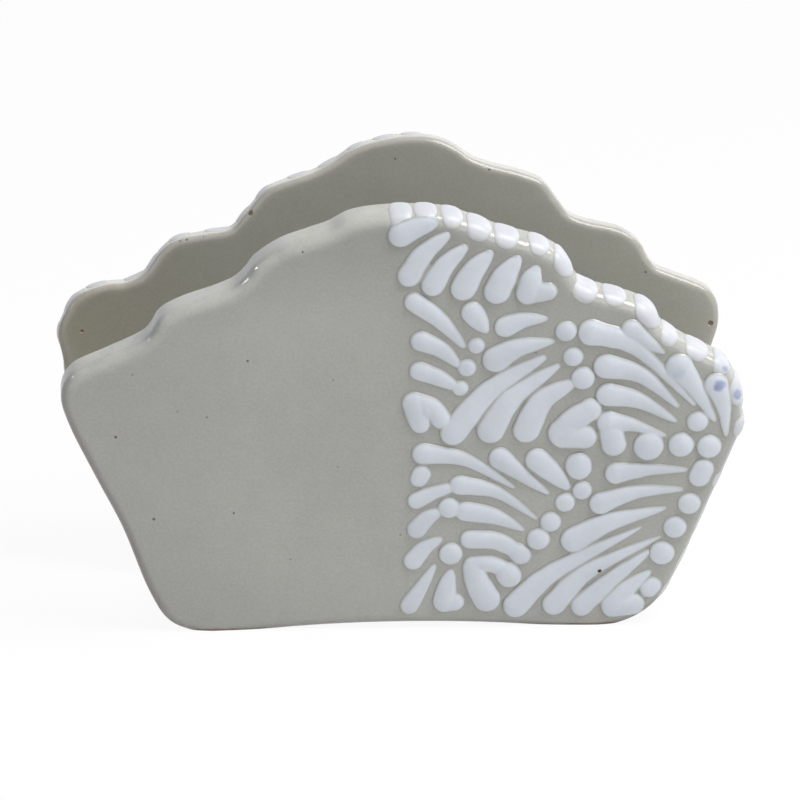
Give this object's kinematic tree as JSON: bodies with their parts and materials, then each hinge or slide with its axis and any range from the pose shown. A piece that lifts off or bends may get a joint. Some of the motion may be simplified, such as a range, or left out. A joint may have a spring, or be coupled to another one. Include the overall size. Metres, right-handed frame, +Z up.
{
  "type": "napkin holder",
  "caption": "Glazed stoneware napkin holder: two scalloped fan-shaped panels lean apart on a base slab, with raised white slip trailed over one half of each outer face.",
  "frame": {"origin": "middle of the footprint, on the surface that the holder stands on", "axes": "+X across the two panels, to the right as seen from the front; +Y from the front panel to the rear panel; +Z up"},
  "size_m": [0.1614, 0.0777, 0.1067],
  "materials": {
    "grey_glaze": "glossy",
    "olive_glaze": "glossy",
    "white_slip": "glossy"
  },
  "bodies": {
    "root": {"front_panel": "grey_glaze", "rear_panel": "grey_glaze", "base_slab": "olive_glaze", "front_seam_coil": "olive_glaze", "rear_seam_coil": "olive_glaze", "front_rim_dabs": "white_slip", "front_crest_petals": "white_slip", "front_left_feather": "white_slip", "front_centre_feather": "white_slip", "front_corner_feather": "white_slip", "front_hearts": "white_slip", "front_side_feather": "white_slip", "front_foot_feather": "white_slip", "front_low_left_feather": "white_slip", "rear_rim_dabs": "white_slip", "rear_crest_petals": "white_slip", "rear_left_feather": "white_slip", "rear_centre_feather": "white_slip", "rear_corner_feather": "white_slip", "rear_hearts": "white_slip", "rear_side_feather": "white_slip", "rear_foot_feather": "white_slip", "rear_low_left_feather": "white_slip"}
  },
  "joints": []
}
